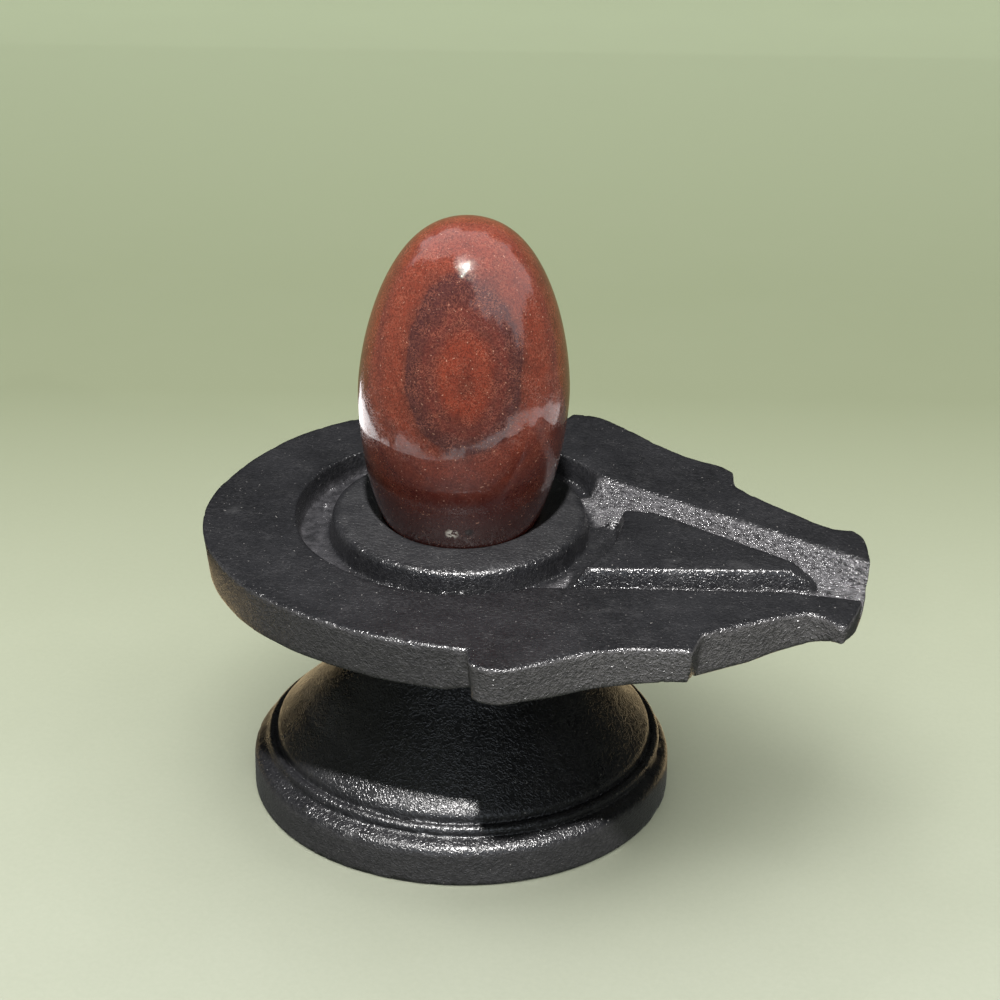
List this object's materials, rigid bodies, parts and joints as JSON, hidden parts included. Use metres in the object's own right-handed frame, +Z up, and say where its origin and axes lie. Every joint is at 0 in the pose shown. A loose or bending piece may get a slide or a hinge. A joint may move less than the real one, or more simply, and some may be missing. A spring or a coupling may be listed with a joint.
{
  "type": "shiva lingam stone",
  "caption": "Polished egg-shaped red-brown stone standing upright in a carved black stone base: a round dish with a water groove and spout on a bell-shaped foot.",
  "frame": {"origin": "on the surface that the base stands on, under the middle of the dish; as modelled, the foot's own centre is 5 mm to the side of it", "axes": "+Z up, +X along the spout from the stone towards the spout's end, +Y completes a right-handed frame"},
  "size_m": [0.1518, 0.121, 0.1395],
  "materials": {
    "jasper": "high polish, mottled red-brown with a concentric eye",
    "black_stone": "near-black carved stone, satin top with fine scratches, glossy channel floor, worn edges"
  },
  "bodies": {
    "root": {"lingam_stone": "jasper", "yoni_base": "black_stone"}
  },
  "joints": []
}
